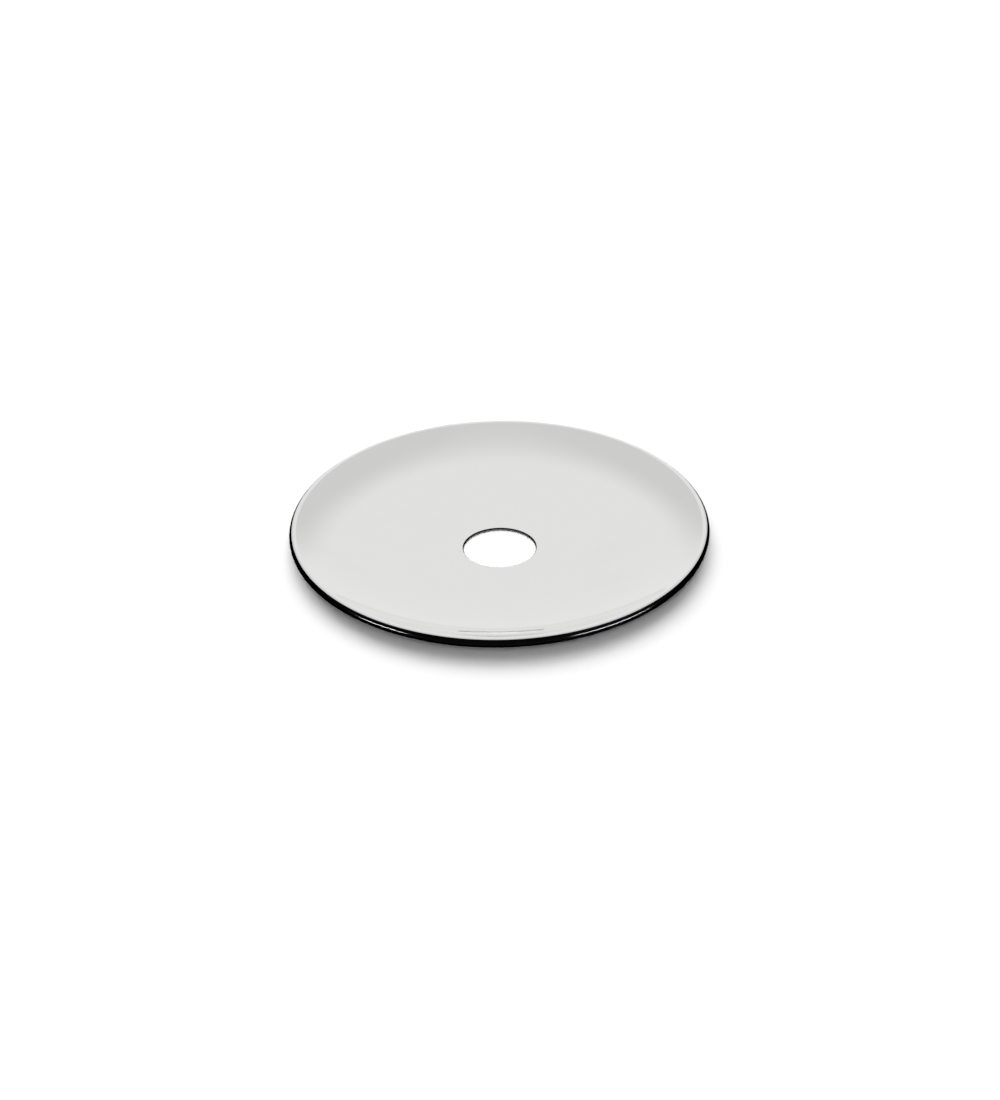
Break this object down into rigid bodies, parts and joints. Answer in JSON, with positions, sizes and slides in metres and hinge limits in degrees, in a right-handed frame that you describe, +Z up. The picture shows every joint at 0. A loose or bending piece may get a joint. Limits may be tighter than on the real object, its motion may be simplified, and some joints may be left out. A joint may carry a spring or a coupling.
{
  "type": "paten plate",
  "caption": "Shallow round polished metal plate with an open round hole in its flat base, a gently turned-up lip and a wired, rolled edge, made to sit over a candle or stem.",
  "frame": {"origin": "middle of the underside, on the axis of the plate, at the height of the surface it lies on", "axes": "+Z up along the axis of the plate; +X and +Y are any two square directions across it, because the plate is round"},
  "size_m": [0.15, 0.15, 0.0107],
  "materials": {
    "plate_metal": "mirror polished silver inside, glossy black on the outside of the bead and on the rounded edge of the hole, dark satin metal underneath and on the wall of the hole",
    "wire_steel": "plain drawn wire, hidden in the bead"
  },
  "bodies": {
    "root": {"dish": "plate_metal", "rim_wire": "wire_steel"}
  },
  "joints": []
}
